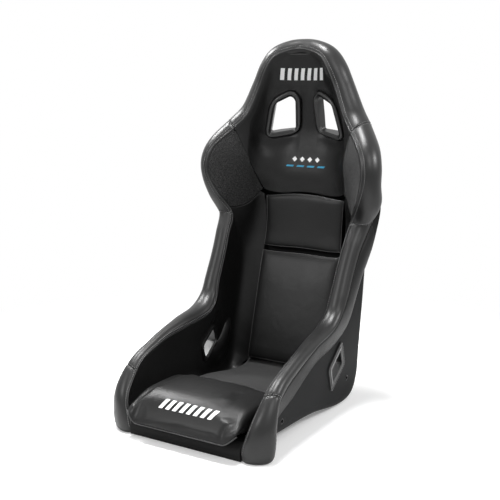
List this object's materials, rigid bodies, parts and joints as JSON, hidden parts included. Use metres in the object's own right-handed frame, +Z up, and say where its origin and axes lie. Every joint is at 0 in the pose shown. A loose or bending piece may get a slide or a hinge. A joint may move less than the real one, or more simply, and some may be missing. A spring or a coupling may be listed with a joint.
{
  "type": "racing bucket seat",
  "caption": "Fixed-back bucket racing seat with high side walls, shoulder wings, padded rim rolls, loose cushions, harness slots and side-mount bushes.",
  "frame": {"origin": "middle of the seat's outline on the ground under its lowest part", "axes": "+Z up, -Y the way the sitter faces, +X the sitter's left"},
  "size_m": [0.503, 0.5999, 0.8881],
  "materials": {
    "shell": "moulded glass-fibre shell in matt black gelcoat",
    "vinyl": "black coated upholstery cloth, satin, fine grain",
    "wing_fabric": "black woven mesh cloth",
    "seat_fabric": "dark grey woven cloth",
    "webbing": "black cover cloth over the front edge",
    "moulding": "black injection-moulded plastic",
    "hook_and_loop": "black hook-and-loop strip",
    "bush": "blackened zinc-plated steel"
  },
  "bodies": {
    "root": {"shell": "shell", "head_panel": "vinyl", "wing_pad_left": "wing_fabric", "wing_pad_right": "wing_fabric", "side_pad_left": "vinyl", "side_pad_right": "vinyl", "hip_pad_left": "vinyl", "hip_pad_right": "vinyl", "back_cushion_upper": "vinyl", "back_cushion_lower": "vinyl", "seat_pad": "seat_fabric", "thigh_cushion": "vinyl", "front_skirt": "webbing", "head_roll": "vinyl", "wing_roll_left": "vinyl", "wing_roll_right": "vinyl", "side_roll_left": "vinyl", "side_roll_right": "vinyl", "front_roll_left": "vinyl", "front_roll_right": "vinyl", "head_band": "vinyl", "wing_band_left": "vinyl", "wing_band_right": "vinyl", "side_band_left": "vinyl", "side_band_right": "vinyl", "shoulder_frame_left": "moulding", "shoulder_frame_right": "moulding", "shoulder_ring_left": "moulding", "shoulder_ring_right": "moulding", "hip_frame_left": "moulding", "hip_frame_right": "moulding", "hip_ring_left": "moulding", "hip_ring_right": "moulding", "crotch_frame": "moulding", "crotch_ring": "moulding", "hook_strips": "hook_and_loop", "mount_bush_front_left": "bush", "mount_bush_rear_left": "bush", "mount_bush_front_right": "bush", "mount_bush_rear_right": "bush"}
  },
  "joints": []
}
